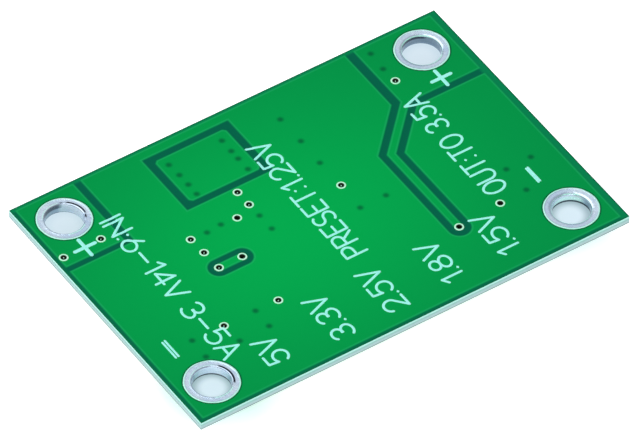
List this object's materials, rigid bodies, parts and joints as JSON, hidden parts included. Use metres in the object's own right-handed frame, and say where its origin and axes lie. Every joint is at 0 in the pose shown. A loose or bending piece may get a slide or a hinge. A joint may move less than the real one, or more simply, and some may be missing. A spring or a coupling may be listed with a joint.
{
  "type": "buck converter module",
  "caption": "Flat green circuit module that steps a direct voltage down, with plated corner terminals and components on its hidden side.",
  "frame": {"origin": "centre of the outline, level with the coil's outer face, on which the module rests", "axes": "+X from the input end to the output end, +Y towards the positive terminals, +Z out of the solder side"},
  "size_m": [0.045, 0.03, 0.0049],
  "materials": {
    "laminate": "cut glass-epoxy edge, greenish, dull",
    "copper": "bare plated copper",
    "solder_mask": "glossy green film",
    "tin": "bright tin",
    "solder": "satin solder",
    "chip_moulding": "matt black moulding",
    "ferrite": "dark grey sintered",
    "winding": "enamelled copper wire",
    "capacitor_ceramic": "satin tan",
    "resistor_plate": "white alumina",
    "resistor_film": "black overglaze"
  },
  "bodies": {
    "root": {"laminate": "laminate", "upper_ground_pour": "copper", "upper_input_pour": "copper", "upper_output_pour": "copper", "upper_switch_island": "copper", "upper_link_trace": "copper", "upper_solder_mask": "solder_mask", "lower_input_pour": "copper", "lower_switch_pours": "copper", "lower_output_pour": "copper", "lower_signal_traces": "copper", "lower_ground_pour": "copper", "lower_solder_mask": "solder_mask", "input_positive_terminal": "tin", "input_negative_terminal": "tin", "output_positive_terminal": "tin", "output_negative_terminal": "tin", "selector_pads": "tin", "chip_body": "chip_moulding", "chip_leads": "tin", "chip_thermal_pad": "tin", "coil_shield": "ferrite", "coil_drum": "ferrite", "coil_winding": "winding", "coil_base": "chip_moulding", "coil_clips": "tin", "input_capacitors": "capacitor_ceramic", "input_capacitor_ends": "tin", "output_capacitors": "capacitor_ceramic", "output_capacitor_ends": "tin", "small_capacitors": "capacitor_ceramic", "small_capacitor_ends": "tin", "resistors": "resistor_plate", "resistor_films": "resistor_film", "resistor_ends": "tin", "solder_joints": "solder"}
  },
  "joints": []
}
